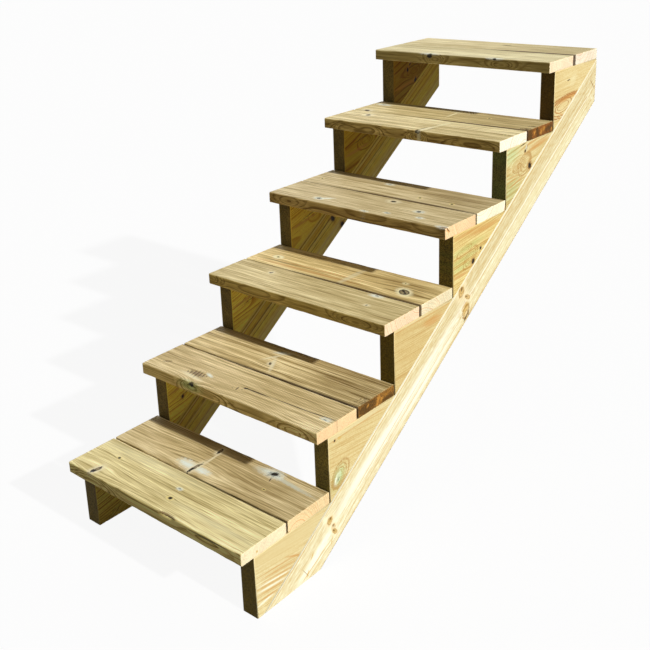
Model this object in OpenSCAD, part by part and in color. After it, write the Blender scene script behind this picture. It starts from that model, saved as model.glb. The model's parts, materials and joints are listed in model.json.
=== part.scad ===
// Open-riser garden steps: a straight timber flight on two cut stringers.
//
// Each stringer is a sloping rail with one triangular step block seated on it for
// every tread. Each tread is a pair of boards that bears on its two blocks, hangs
// over them at the front, and stops just short of the next blocks at the back.
// The foot of the flight is cut level to stand on the ground and the head is cut
// plumb to be fixed to a deck or a wall.
//
// Frame: X across the flight, +Y up the flight towards the head, +Z up. The origin
// is the middle of the top tread's back edge, in the plane of the plumb head cut.

/* [Flight] */
// Number of treads
steps = 6; // [3:1:8]
// Height from one tread to the next
rise = 170; // [140:1:205]
// Horizontal distance from one step block's front face to the next
going = 260; // [215:1:315]
// Length of the treads, which is the width of the flight
flight_w = 600; // [500:10:900]

/* [Treads] */
// Thickness of the tread boards
tread_t = 31; // [25:1:45]
// Overhang of a tread in front of its blocks
nosing = 39; // [15:1:50]
// Open joint between the two boards of a tread
board_gap = 4; // [2:0.5:8]
// Clearance between a tread's back edge and the next blocks
back_gap = 3; // [1:0.5:6]
// Radius of the eased long edges of a board
board_ease = 3; // [1:0.5:5]

/* [Stringers] */
// Thickness of the rails and the step blocks
stringer_t = 45; // [30:1:60]
// Depth of a rail, square to its slope
rail_d = 110; // [85:1:135]
// Distance from a tread's end to the stringer's outer face
end_inset = 0; // [0:1:60]
// Height that the level foot cut takes off the lowest block's toe
toe_cut = 12; // [5:1:20]
// Glue line between a rail and the step blocks on it
glue_line = 0.1; // [0.1:0.1:1]
// Radius of the planed long edges of a rail
rail_ease = 4; // [1:0.5:6]
// Radius of the eased edges of a step block
block_ease = 2; // [1:0.5:4]

/* [Hidden] */
$fn = 32;
// Overlap that keeps a cutting solid clear of the face that it cuts past
past = 20;
SIDES = ["left", "right"];
ROWS = ["front", "rear"];

pitch = atan2(rise, going);
tread_d = going + nosing - back_gap;
board_w = (tread_d - board_gap) / 2;
// Heights and depths below the origin, which is level with the middle of the top tread
seat_z = -tread_t / 2;
ground_z = seat_z - steps * rise + toe_cut;
plumb_d = rail_d / cos(pitch);
stringer_x = flight_w / 2 - end_inset - stringer_t / 2;

function board_node(k, row) = str("tread_", k, "_", row, "_board");
function block_node(side, k) = str(side, "_block_", k);
function rail_node(side) = str(side, "_rail");

// Front face of step block k, and the height of its top, which tread k bears on
function block_front(k) = (k - 1 - steps) * going;
function block_top(k) = seat_z + (k - steps) * rise;
// Back edge of tread k: short of the next blocks, or flush with the head on the top tread
function tread_back(k) = k < steps ? block_front(k + 1) - back_gap : 0;
// The seam that the blocks seat on: its height at a place, and its place at a height
function seam_z(y) = seat_z + y * tan(pitch);
function seam_y(z) = (z - seat_z) / tan(pitch);
function side_x(side) = side == "left" ? -stringer_x : stringer_x;

// Rectangle of w by h, centred, with all four corners rounded
module eased_rectangle(w, h, r) {
    square([w - 2 * r, h], center = true);
    square([w, h - 2 * r], center = true);
    for (x = [-1, 1], y = [-1, 1])
        translate([x * (w / 2 - r), y * (h / 2 - r)]) circle(r);
}

// Extrudes a side profile, drawn with Y to the right and Z up, to t thick about X = 0
module across(t) {
    rotate([90, 0, 90]) translate([0, 0, -t / 2]) linear_extrude(t) children();
}

// Square-cut tread board with its long edges eased
module tread_board(k, row) {
    back = tread_back(k) - (row == "rear" ? 0 : board_w + board_gap);
    color(row == "rear" ? "#c9b98b" : "#cfc094")
        translate([0, back - board_w / 2, block_top(k) + tread_t / 2])
            across(flight_w) eased_rectangle(board_w, tread_t, board_ease);
}

// Side of step block k: plumb front, level top, and the long cut that seats on the rail
module block_profile(k) {
    front = block_front(k);
    toe = max(seam_z(front), ground_z);
    points = [
        [front, toe],
        [front, block_top(k)],
        [front + going, block_top(k)],
        if (toe > seam_z(front)) [seam_y(toe), toe]
    ];
    polygon(points);
}

// Plan of a step block, with its two front corners eased
module block_plan(front) {
    length = going + past;
    translate([0, front + length / 2]) {
        eased_rectangle(stringer_t, length, block_ease);
        translate([0, past / 2]) square([stringer_t, length - past], center = true);
    }
}

// Triangular step block: its long cut is sharp, its front and top edges are eased
module step_block(side, k) {
    front = block_front(k);
    color("#d8bf83") translate([side_x(side), 0, 0]) intersection() {
        across(stringer_t + past) block_profile(k);
        translate([0, 0, seam_z(front) - past])
            linear_extrude(rise + 2 * past) block_plan(front);
        translate([0, front + going + past, block_top(k) - rise])
            rotate([90, 0, 0]) linear_extrude(going + 2 * past)
                eased_rectangle(stringer_t, 2 * rise, block_ease);
    }
}

// Side of the space that the rail is trimmed to: plumb at the head, level at the foot
module rail_profile() {
    polygon([
        [seam_y(ground_z) - past, ground_z],
        [0, ground_z],
        [0, past],
        [seam_y(ground_z) - past, past]
    ]);
}

// Sloping rail: one planed length under all the blocks, trimmed at both ends
module rail(side) {
    run = steps * going / cos(pitch) + 2 * plumb_d;
    color("#e6d5a4") translate([side_x(side), 0, 0]) intersection() {
        across(stringer_t + past) rail_profile();
        translate([0, 0, seat_z]) rotate([pitch, 0, 0])
            translate([0, plumb_d, -glue_line - rail_d / 2]) rotate([90, 0, 0])
                linear_extrude(run) eased_rectangle(stringer_t, rail_d, rail_ease);
    }
}

for (k = [1:steps], row = ROWS)
    tread_board(k, row);
for (side = SIDES, k = [1:steps])
    step_block(side, k);
for (side = SIDES)
    rail(side);
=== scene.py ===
"""Dresses a flight of open-riser garden steps in Blender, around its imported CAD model.

The flight is all pressure-treated softwood. Each tread is a pair of sawn boards that lies
on two triangular step blocks, and the blocks are seated on two sloping rails. Every piece
of timber gets its own growth rings, fibres, knots and treatment stains, from one material
recipe that is read in the lay of the piece: x along its fibres, y across, z through it.
The tables of the wood are in millimetres and degrees.
"""

import json
import logging
import math
from collections.abc import Sequence
from dataclasses import dataclass
from enum import Enum
from functools import partial

import bmesh
import bpy
from mathutils import Euler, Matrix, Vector

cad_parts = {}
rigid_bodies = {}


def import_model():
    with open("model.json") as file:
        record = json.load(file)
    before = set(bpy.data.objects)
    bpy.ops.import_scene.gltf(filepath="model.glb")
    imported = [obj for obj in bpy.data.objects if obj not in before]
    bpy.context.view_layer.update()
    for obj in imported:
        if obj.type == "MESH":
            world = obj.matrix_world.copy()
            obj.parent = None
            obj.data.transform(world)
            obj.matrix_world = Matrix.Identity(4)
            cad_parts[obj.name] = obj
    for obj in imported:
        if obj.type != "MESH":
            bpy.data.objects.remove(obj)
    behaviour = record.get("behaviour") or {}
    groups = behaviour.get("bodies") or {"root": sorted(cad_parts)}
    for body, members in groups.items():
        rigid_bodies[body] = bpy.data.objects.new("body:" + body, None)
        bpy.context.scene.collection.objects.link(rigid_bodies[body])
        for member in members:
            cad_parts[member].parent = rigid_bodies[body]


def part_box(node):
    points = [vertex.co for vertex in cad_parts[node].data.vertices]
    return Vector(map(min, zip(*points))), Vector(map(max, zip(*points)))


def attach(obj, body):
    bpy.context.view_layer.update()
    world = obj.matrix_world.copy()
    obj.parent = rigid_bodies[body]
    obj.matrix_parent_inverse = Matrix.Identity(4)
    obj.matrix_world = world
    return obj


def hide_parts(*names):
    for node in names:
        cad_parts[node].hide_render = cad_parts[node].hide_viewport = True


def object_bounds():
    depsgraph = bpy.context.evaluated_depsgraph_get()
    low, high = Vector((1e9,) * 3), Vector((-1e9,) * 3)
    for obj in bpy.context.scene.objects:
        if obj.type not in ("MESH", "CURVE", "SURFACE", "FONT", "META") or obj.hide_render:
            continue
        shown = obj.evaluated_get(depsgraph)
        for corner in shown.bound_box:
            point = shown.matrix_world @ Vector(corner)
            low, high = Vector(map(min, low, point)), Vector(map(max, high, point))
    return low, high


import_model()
CAD_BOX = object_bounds()

LOG = logging.getLogger("garden_steps")
BODY = "root"
MM = 0.001
STEPS = 6
SHADER, GEOMETRY = "ShaderNodeTree", "GeometryNodeTree"

Colour = tuple[float, float, float]
Point = tuple[float, float, float]
Node, Socket, Tree = bpy.types.Node, bpy.types.NodeSocket, bpy.types.NodeTree
Thing, Material = bpy.types.Object, bpy.types.Material
Value = Socket | float | Sequence[float]
Coat = tuple[Socket, Socket]  # a surface's colour, and its height in millimetres


def tone(red: int, green: int, blue: int) -> Colour:
    """Turns a paint-chart colour into the linear one that a shader takes.

    Args:
        red: Red, from 0 to 255.
        green: Green, from 0 to 255.
        blue: Blue, from 0 to 255.

    Returns:
        The linear colour, each part from 0 to 1.
    """
    parts = (channel / 255 for channel in (red, green, blue))
    return tuple(
        part / 12.92 if part <= 0.04045 else ((part + 0.055) / 1.055) ** 2.4
        for part in parts
    )


# ---- node wiring


class Wiring:
    """Adds nodes to one node tree and joins them up."""

    def __init__(self, tree: Tree) -> None:
        """Keeps the tree that the nodes go into."""
        self.tree = tree

    @classmethod
    def afresh(cls, block: Material | bpy.types.World) -> "Wiring":
        """Empties the node tree of a material or a world.

        Args:
            block: The material or the world.

        Returns:
            The wiring of its tree.
        """
        block.use_nodes = True
        block.node_tree.nodes.clear()
        return cls(block.node_tree)

    def feed(self, socket: Socket, value: Value) -> None:
        """Joins a socket to another one, or sets its value.

        Args:
            socket: The input socket to feed.
            value: An output socket, or a plain value.
        """
        if isinstance(value, Socket):
            self.tree.links.new(value, socket)
        elif socket.type == "RGBA" and len(value) == 3:
            socket.default_value = (*value, 1.0)
        else:
            socket.default_value = value

    def add(
        self, kind: str, feeds: dict[str | int, Value] | None = None, **settings: object
    ) -> Node:
        """Adds a node, sets its options, then feeds its inputs.

        Args:
            kind: The node's type name.
            feeds: What goes into each input, by name or by number.
            **settings: The node's own options.

        Returns:
            The new node.
        """
        node = self.tree.nodes.new(kind)
        for name, option in settings.items():
            setattr(node, name, option)
        for key, value in (feeds or {}).items():
            self.feed(node.inputs[key], value)
        return node

    def sum(self, operation: str, *terms: Value, clamp: bool = False) -> Socket:
        """Does arithmetic on numbers.

        Args:
            operation: The Math node's operation.
            *terms: The numbers or sockets that it works on.
            clamp: Whether the answer is kept between 0 and 1.

        Returns:
            The socket that holds the answer.
        """
        kind = "ShaderNodeMath"
        node = self.add(kind, dict(enumerate(terms)), operation=operation, use_clamp=clamp)
        return node.outputs[0]

    def steer(self, operation: str, *terms: Value) -> Socket:
        """Does arithmetic on vectors.

        Args:
            operation: The Vector Math node's operation.
            *terms: The vectors or sockets, or for SCALE a vector and a number.

        Returns:
            The socket that holds the answer, a number for LENGTH.
        """
        node = self.add("ShaderNodeVectorMath", operation=operation)
        slots = [node.inputs[0], node.inputs["Scale"]] if operation == "SCALE" else node.inputs
        for slot, term in zip(slots, terms):
            self.feed(slot, term)
        return node.outputs["Value" if operation in ("LENGTH", "DOT_PRODUCT") else "Vector"]

    def blend(
        self, amount: Value, under: Value, over: Value, mode: str = "MIX"
    ) -> Socket:
        """Lays one colour over another.

        Args:
            amount: How much of the upper colour shows, from 0 to 1.
            under: The colour that is there already.
            over: The colour that goes over it.
            mode: The way that they mix.

        Returns:
            The socket that holds the mixed colour.
        """
        node = self.add("ShaderNodeMix", data_type="RGBA", blend_type=mode)
        self.feed(node.inputs["Factor"], amount)
        colours = [s for s in node.inputs if s.type == "RGBA"]
        self.feed(colours[0], under)
        self.feed(colours[1], over)
        return next(s for s in node.outputs if s.type == "RGBA")

    def ramp(
        self, value: Value, start: float, end: float, low: float = 0.0, high: float = 1.0
    ) -> Socket:
        """Turns a number into another with a smooth step.

        Args:
            value: The number.
            start: Where the step starts.
            end: Where the step ends.
            low: The answer before the step.
            high: The answer after it.

        Returns:
            The socket that holds the answer.
        """
        feeds = {"Value": value, "From Min": start, "From Max": end}
        node = self.add("ShaderNodeMapRange", feeds, interpolation_type="SMOOTHSTEP")
        self.feed(node.inputs["To Min"], low)
        self.feed(node.inputs["To Max"], high)
        return node.outputs["Result"]

    def noise(self, place: Value, stretch: Point, detail: float = 2.0) -> Node:
        """Adds soft noise, stretched along the fibres or across them.

        Args:
            place: The place that it is read at, in metres.
            stretch: How many waves it has to the metre, each way.
            detail: How many finer octaves it has.

        Returns:
            The noise node, which has a value and a colour.
        """
        scaled = self.steer("MULTIPLY", place, stretch)
        feeds = {"Vector": scaled, "Scale": 1.0, "Detail": detail, "Roughness": 0.55}
        return self.add("ShaderNodeTexNoise", feeds)

    def centred(self, noise: Node) -> Socket:
        """Returns a noise node's colour as a vector that points either way."""
        return self.steer("SUBTRACT", noise.outputs["Color"], (0.5, 0.5, 0.5))

    def group(self, tree: Tree, **feeds: Value) -> Node:
        """Adds a node group and feeds the inputs that are named."""
        return self.add("ShaderNodeGroup", feeds, node_tree=tree)

    def surface(self, kind: str, shader: Node) -> None:
        """Joins a shader to a new output node of a material or a world."""
        self.add(kind, {"Surface": shader.outputs[0]})


def open_group(
    name: str, kind: str, inputs: dict[str, float | str], outputs: dict[str, str]
) -> tuple[Wiring, dict[str, Socket], Node]:
    """Starts a node group with named inputs and outputs.

    Args:
        name: The group's name.
        kind: The tree's type, for shaders or for geometry.
        inputs: Each input's name, and the number that it starts at or its kind.
        outputs: Each output's name and kind.

    Returns:
        The group's wiring, its inputs by name, and its output node.
    """
    tree = bpy.data.node_groups.new(name, kind)
    for label, value in inputs.items():
        sort = value if isinstance(value, str) else "Float"
        item = tree.interface.new_socket(label, in_out="INPUT", socket_type="NodeSocket" + sort)
        if value != sort:
            item.default_value = value
    for label, sort in outputs.items():
        tree.interface.new_socket(label, in_out="OUTPUT", socket_type="NodeSocket" + sort)
    wiring = Wiring(tree)
    given = {socket.name: socket for socket in wiring.add("NodeGroupInput").outputs}
    return wiring, given, wiring.add("NodeGroupOutput")


# ---- marks in the timber


@dataclass(frozen=True)
class Stain:
    """How one kind of mark looks.

    The colour is what shows in its middle and strength how much of it shows. Soft is how
    wide its edge is, ragged how broken its edge is, hollow how much its middle is left
    out, streaky how far the fibres break it up, and relief how far it is raised or sunk,
    in millimetres. A shade darkens the wood with its colour instead of covering it, and
    the stick's own clear wood shows where there is no colour.
    """

    colour: Colour | None
    strength: float
    soft: float = 0.3
    ragged: float = 0.5
    hollow: float = 0.0
    streaky: float = 0.0
    relief: float = 0.0
    shade: bool = False


class Look(Enum):
    """The kinds of mark that softwood shows after sawing and treating, and a painted shade."""

    HEART = Stain(tone(124, 90, 48), 0.85, 0.35, 0.9, relief=-0.3)
    RIM = Stain(tone(66, 46, 20), 0.92, 0.35, 0.9, relief=0.3)
    PITH = Stain(tone(20, 14, 4), 0.97, 0.25, 1.2, relief=-1.2)
    OUTLINE = Stain(tone(36, 26, 8), 0.95, 0.18, 2.0, hollow=0.9, relief=-0.3)
    BARK = Stain(tone(40, 32, 18), 0.9, 0.12, 0.4, hollow=1.0, relief=-0.3)
    CORE = Stain(tone(114, 92, 50), 0.92, 0.2, 0.4, streaky=0.2)
    HALO = Stain(tone(252, 240, 200), 0.85, 0.8, 0.9)
    SHEATH = Stain(tone(246, 226, 150), 0.85, 0.3, 0.7)
    BLOOM = Stain(tone(250, 255, 240), 1.0, 0.6, 1.4, streaky=0.4)
    SPECK = Stain(tone(58, 66, 60), 0.9, 0.7, 3.0, streaky=0.3, relief=-0.3)
    GREEN = Stain((0.82, 1.02, 0.98), 1.0, 0.9, 1.2, shade=True)
    COPPER = Stain((0.62, 0.88, 0.88), 1.0, 0.8, 1.4, shade=True)
    MOSS = Stain(tone(176, 186, 128), 0.8, 0.6, 1.2, streaky=0.2)
    # A dark line along the joint between a tread's two boards.
    DIRT = Stain(tone(70, 36, 0), 0.88, 0.5, 0.6)
    CRACK = Stain(tone(50, 26, 4), 0.95, 0.5, 0.7, relief=-0.8)
    TORN = Stain(tone(112, 86, 44), 0.75, 0.6, 2.2, relief=-0.3)
    DASH = Stain(tone(84, 56, 16), 0.9, 0.5, 1.2, relief=-0.5)
    STICKER = Stain(tone(240, 234, 196), 0.55, 0.6, 0.7, streaky=0.3)
    HEARTWOOD = Stain(tone(86, 58, 8), 0.92, 0.4, 2.5)
    FLECK = Stain(tone(214, 152, 66), 0.85, 0.8, 3.0)
    LOOP = Stain(tone(172, 124, 56), 0.72, 0.055, 0.35, hollow=1.0)
    FLAME = Stain(tone(160, 96, 36), 0.9, 0.045, 0.25, hollow=1.0)
    CREAM = Stain(tone(255, 244, 196), 1.0, 0.4, 0.6)
    RING = Stain(tone(150, 104, 30), 0.7, 0.13, 0.8, hollow=1.0)
    BAND = Stain(tone(200, 144, 74), 0.7, 0.5, 0.5, streaky=0.25)
    RUST = Stain(tone(190, 140, 70), 0.7, 0.7, 1.6, streaky=0.4)
    GOLD = Stain(tone(206, 164, 72), 0.8, 0.55, 1.4, streaky=0.2)
    PALE = Stain(tone(255, 252, 232), 0.85, 0.8, 0.8, streaky=0.25)
    LIGHT = Stain(tone(238, 230, 184), 0.5, 0.9, 0.6, streaky=0.5)
    CLEAR = Stain(None, 0.75, 0.8, 0.4)
    LINE = Stain(tone(150, 112, 58), 0.7, 0.6, 0.4)
    # Painted shade: a darkening laid over parts of the tread tops and butts in place of shade,
    # not a stain of the wood.
    DAMP = Stain((0.72, 0.69, 0.62), 1.0, 0.95, 0.4, shade=True)
    TANNED = Stain((0.93, 0.9, 0.84), 1.0, 0.9, 0.2, shade=True)


THROUGH = 1000.0  # a depth, in millimetres, that goes through any piece
SWERVE_REACH = (5.0, 2.2)  # how far the rings swerve along and across, in knots
SWERVE_PULL = 750.0  # how far they swerve, in thousandths of their distance


class Face(Enum):
    """The face of a piece that a mark is drawn on, as the axis that points out of it."""

    FLAT = (0.0, 0.0, 1.0)
    EDGE = (0.0, -1.0, 0.0)
    BUTT = (1.0, 0.0, 0.0)

    def lay_out(self, first: float, second: float, third: float) -> Point:
        """Turns two distances on the face and one through it into the piece's axes.

        Args:
            first: The distance along the face.
            second: The distance across the face.
            third: The distance through the face.

        Returns:
            The three distances, in metres.
        """
        order = {
            Face.FLAT: (first, second, third),
            Face.EDGE: (first, third, second),
            Face.BUTT: (third, first, second),
        }[self]
        return tuple(part * MM for part in order)


@dataclass(frozen=True)
class Mark:
    """One mark, in millimetres in the lay of its piece.

    It is an oval about the point (along, across), with half its length and half its
    width, turned anticlockwise from the fibres by turn degrees. It goes right through
    the piece unless depth says how far it reaches to either side of level.
    """

    look: Look
    along: float
    across: float
    length: float
    width: float
    turn: float = 0.0
    face: Face = Face.FLAT
    level: float = 0.0
    depth: float = THROUGH

    def spot(self) -> Point:
        """Returns the mark's middle in metres, in the lay of the piece."""
        return self.face.lay_out(self.along, self.across, self.level)

    def reach(self) -> Point:
        """Returns how far the mark reaches each way from its middle, in metres."""
        return self.face.lay_out(self.length, self.width, self.depth)


@dataclass(frozen=True)
class Swirl:
    """A place where the growth rings bulge, as they do beside a knot.

    It is given in millimetres like a mark, and lift is how far the rings rise there
    towards the face that it is seen on.
    """

    along: float
    across: float
    length: float
    width: float
    lift: float
    face: Face = Face.EDGE
    level: float = 0.0
    depth: float = THROUGH

    def bend(self) -> dict[str, Point]:
        """Says how it bends the rings.

        Returns:
            What goes into the bending group: the middle, the reach, the pull and the lift.
        """
        return {
            "Middle": self.face.lay_out(self.along, self.across, self.level),
            "Reach": self.face.lay_out(self.length, self.width, self.depth),
            "Pull": (0.0, 0.0, 0.0),
            "Lift": self.face.lay_out(0.0, 0.0, self.lift),
        }


class KnotKind(Enum):
    """The kinds of knot, as the layers that draw each, the lowest first.

    A layer is a look, how much longer and wider than the knot it is, and how far it lies
    along the knot, as a part of the knot's half length.
    """

    PIN = ((Look.SHEATH, 2.5, 2.3, 0), (Look.RIM, 1.3, 1.3, 0), (Look.PITH, 1.1, 1.1, 0))
    SOUND = (
        (Look.CREAM, 1.7, 1.6, 0),
        (Look.CORE, 1, 1, 0),
        (Look.BARK, 1.1, 1.1, 0),
        (Look.PITH, 0.45, 0.3, -0.4),
        (Look.PITH, 0.3, 0.35, 0.4),
    )
    LOOSE = ((Look.HALO, 2.8, 2.8, 0), (Look.HEART, 1.3, 1.3, 0), (Look.PITH, 1, 1, 0))
    SPIKE = (
        (Look.HALO, 1.5, 2.6, 0),
        (Look.TORN, 0.9, 0.9, 0),
        (Look.OUTLINE, 1.1, 1.25, 0),
        (Look.PITH, 0.5, 0.9, -0.55),
    )
    BLOOMED = ((Look.BLOOM, 3.2, 2.6, 0), (Look.SPECK, 1.7, 1.6, 0), (Look.PITH, 1.1, 1.1, 0))
    DEAD = ((Look.RUST, 2, 2, 0), (Look.HEART, 1.4, 1.4, 0), (Look.PITH, 1, 1, 0))
    GOLDEN = (
        (Look.HALO, 1.9, 1.9, 0),
        (Look.GOLD, 1.3, 1.3, 0),
        (Look.RING, 1.15, 1.15, 0),
        (Look.RING, 0.6, 0.6, 0.2),
        (Look.DASH, 0.5, 0.25, 0.5),
    )


@dataclass(frozen=True)
class Knot:
    """A knot, in millimetres in the lay of its piece, and the rings that swerve round it."""

    kind: KnotKind
    along: float
    across: float
    length: float
    width: float
    turn: float = 0.0
    face: Face = Face.FLAT
    level: float = 0.0
    depth: float = THROUGH

    def marks(self) -> tuple[Mark, ...]:
        """Draws the knot.

        Returns:
            Its marks, the lowest first.
        """
        turn = math.radians(self.turn)
        return tuple(
            Mark(
                look,
                self.along + self.length * slid * math.cos(turn),
                self.across + self.length * slid * math.sin(turn),
                self.length * longer,
                self.width * wider,
                0.0 if look is Look.BLOOM else self.turn,
                self.face,
                self.level,
                self.depth,
            )
            for look, longer, wider, slid in self.kind.value
        )

    def bend(self) -> dict[str, Point]:
        """Says how it bends the rings.

        Returns:
            What goes into the bending group: the middle, the reach, the pull and the lift.
        """
        size = max(self.length, self.width)
        return {
            "Middle": self.face.lay_out(self.along, self.across, 0.0),
            "Reach": self.face.lay_out(*(size * part for part in SWERVE_REACH), THROUGH),
            "Pull": self.face.lay_out(0.0, SWERVE_PULL, 0.0),
            "Lift": (0.0, 0.0, 0.0),
        }


# ---- timber finish


class GrainGroups:
    """The node groups that every timber material shares.

    The waves are how many the noise has to the metre, along, across and through.
    """

    SWAY_WAVES = (3.2, 3.0, 6.0)
    QUIVER_WAVES = (12.0, 50.0, 50.0)
    QUIVER = 0.1  # as a part of the sway
    FIBRE_WAVES = (12.0, 260.0, 260.0)
    STREAK_WAVES = (1.9, 90.0, 90.0)
    HAIR_WAVES = (5.0, 230.0, 230.0)
    PATCH_WAVES = (4.0, 14.0, 14.0)
    SPECKLE_WAVES = (240.0, 280.0, 280.0)
    GOOD_YEARS = (60.0, 2.4)  # waves to the metre, and years they shift the rings by
    LATE_START, LATE_END = (0.5, 0.9), (0.92, 1.0)  # where in a year its dark wood lies
    HAIRS = (0.6, 0.68)
    GAPS = (0.42, 0.58)  # the fibres that break a streaky mark up
    SEED_STEP = (1.7, 2.3, 3.1)  # metres that one step of the seed moves the noise
    SEED_YEARS = 7.0

    def __init__(self) -> None:
        """Builds the three groups."""
        self.grain = self._grain()
        self.mark = self._mark()
        self.bend = self._bend()

    def _grain(self) -> Tree:
        """Builds the growth rings, fibres, streaks and patches of a length of softwood.

        Returns:
            The group.
        """
        features = ("Late", "Ring", "Fibre", "Streak", "Hair", "Patch", "Speckle")
        numbers = {"Ring Width": 0.004, "Sway": 0.012, "Draw": 1.0, "Seed": 0.0}
        w, given, result = open_group(
            "softwood_grain",
            SHADER,
            {"Place": "Vector", "Pith": "Vector", **numbers},
            {**dict.fromkeys(features, "Float"), "Wobble": "Vector"},
        )
        place, seed, sway = (given[name] for name in ("Place", "Seed", "Sway"))
        drawn = w.add("ShaderNodeCombineXYZ", {0: given["Draw"], 1: 1.0, 2: 1.0}).outputs[0]
        shift = w.steer("SCALE", self.SEED_STEP, seed)
        own = w.steer("ADD", w.steer("MULTIPLY", place, drawn), shift)
        slow = w.centred(w.noise(own, self.SWAY_WAVES, 1.0))
        quick = w.centred(w.noise(own, self.QUIVER_WAVES))
        bent = w.steer("ADD", place, w.steer("SCALE", slow, sway))
        quiver = w.steer("SCALE", quick, w.sum("MULTIPLY", sway, self.QUIVER))
        from_pith = w.steer("SUBTRACT", w.steer("ADD", bent, quiver), given["Pith"])
        radius = w.steer("LENGTH", w.steer("MULTIPLY", from_pith, (0.0, 1.0, 1.0)))
        waves, years = self.GOOD_YEARS
        drift = w.add(
            "ShaderNodeTexNoise",
            {"W": w.sum("MULTIPLY_ADD", radius, waves, seed), "Scale": 1.0, "Detail": 1.0},
            noise_dimensions="1D",
        )
        count = w.sum("DIVIDE", radius, given["Ring Width"])
        count = w.sum("MULTIPLY_ADD", drift.outputs[0], years, count)
        part = w.sum("FRACT", count)
        begun = w.ramp(part, *self.LATE_START)
        late = w.sum("MULTIPLY", begun, w.ramp(part, *self.LATE_END, 1.0, 0.0))
        year = w.sum("MULTIPLY_ADD", seed, self.SEED_YEARS, w.sum("FLOOR", count))
        ring = w.add("ShaderNodeTexWhiteNoise", {"W": year}, noise_dimensions="1D")
        speckle = w.noise(own, self.SPECKLE_WAVES)
        hair = w.noise(own, self.HAIR_WAVES, 1.0).outputs[0]
        for name, socket in {
            "Late": late,
            "Ring": ring.outputs["Value"],
            "Fibre": w.noise(own, self.FIBRE_WAVES, 3.0).outputs[0],
            "Streak": w.noise(own, self.STREAK_WAVES, 4.0).outputs[0],
            "Hair": w.ramp(hair, *self.HAIRS),
            "Patch": w.noise(own, self.PATCH_WAVES).outputs[0],
            "Speckle": speckle.outputs[0],
            "Wobble": w.centred(speckle),
        }.items():
            w.feed(result.inputs[name], socket)
        return w.tree

    def _mark(self) -> Tree:
        """Builds the oval with a soft, ragged edge that every mark is drawn with.

        Returns:
            The group.
        """
        vectors = dict.fromkeys(("Place", "Wobble", "Middle", "Reach", "Axis"), "Vector")
        numbers = {"Fibre": 0.5, "Turn": 0.0, "Soft": 0.3, "Ragged": 0.5}
        w, given, result = open_group(
            "timber_mark",
            SHADER,
            {**vectors, **numbers, "Hollow": 0.0, "Streaky": 0.0},
            {"Mask": "Float"},
        )
        soft = given["Soft"]
        arm = w.steer("SUBTRACT", given["Place"], given["Middle"])
        back = w.sum("MULTIPLY", given["Turn"], -1.0)
        feeds = {"Vector": arm, "Axis": given["Axis"], "Angle": back}
        turned = w.add("ShaderNodeVectorRotate", feeds, rotation_type="AXIS_ANGLE").outputs[0]
        scaled = w.steer("DIVIDE", turned, given["Reach"])
        rough = w.steer("SCALE", given["Wobble"], given["Ragged"])
        far = w.steer("LENGTH", w.steer("ADD", scaled, rough))
        outer = w.sum("ADD", 1.0, soft)
        inner = w.sum("SUBTRACT", 1.0, soft)
        mask = w.ramp(far, inner, outer, 1.0, 0.0)
        thin = w.sum("MULTIPLY_ADD", soft, -3.0, 1.0)
        core = w.sum("MULTIPLY", w.ramp(far, thin, inner, 1.0, 0.0), given["Hollow"])
        sparse = w.ramp(given["Fibre"], *self.GAPS, 1.0, 0.0)
        gaps = w.sum("MULTIPLY", sparse, given["Streaky"])
        kept = w.sum("MULTIPLY", w.sum("SUBTRACT", 1.0, core), w.sum("SUBTRACT", 1.0, gaps))
        w.feed(result.inputs["Mask"], w.sum("MULTIPLY", mask, kept))
        return w.tree

    @staticmethod
    def _bend() -> Tree:
        """Builds the bend that carries growth rings round a knot, or lifts them beside it.

        Returns:
            The group.
        """
        inputs = dict.fromkeys(("Place", "Middle", "Reach", "Pull", "Lift"), "Vector")
        w, given, result = open_group("ring_bend", SHADER, inputs, {"Place": "Vector"})
        arm = w.steer("SUBTRACT", given["Place"], given["Middle"])
        far = w.steer("LENGTH", w.steer("DIVIDE", arm, given["Reach"]))
        near = w.sum("EXPONENT", w.sum("MULTIPLY", w.sum("MULTIPLY", far, far), -1.0))
        pull = w.steer("SUBTRACT", given["Lift"], w.steer("MULTIPLY", arm, given["Pull"]))
        moved = w.steer("ADD", given["Place"], w.steer("SCALE", pull, near))
        w.feed(result.inputs["Place"], moved)
        return w.tree


@dataclass(frozen=True)
class Lay:
    """Where a piece's fibres run: its middle, and the turn that brings them to x."""

    middle: Point
    turn: Point = (0.0, 0.0, 0.0)

    def shift(self) -> Point:
        """Returns the move that brings the turned middle to the origin."""
        return tuple(-(Euler(self.turn).to_matrix() @ Vector(self.middle)))


@dataclass(frozen=True)
class Timber:
    """The finish of one kind of piece: how strongly each feature of the wood shows.

    Deep is what one step of darkening does to a colour, and rings, streak, fibre, hair,
    patch and speck say how many steps each feature is worth, and edge_rings how many more
    the rings are worth on a narrow edge. Draw is how far the features are drawn out: a
    smaller number makes them longer.
    """

    slot: str
    deep: Colour = (0.37, 0.31, 0.20)
    rings: float = 0.42
    edge_rings: float = 0.75
    streak: float = 1.4
    fibre: float = 1.3
    hair: float = 0.6
    patch: float = 0.7
    speck: float = 0.0
    draw: float = 1.0
    arris: float = 0.2
    end_late: Colour = (0.92, 0.60, 0.44)
    relief: float = 0.25


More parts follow.
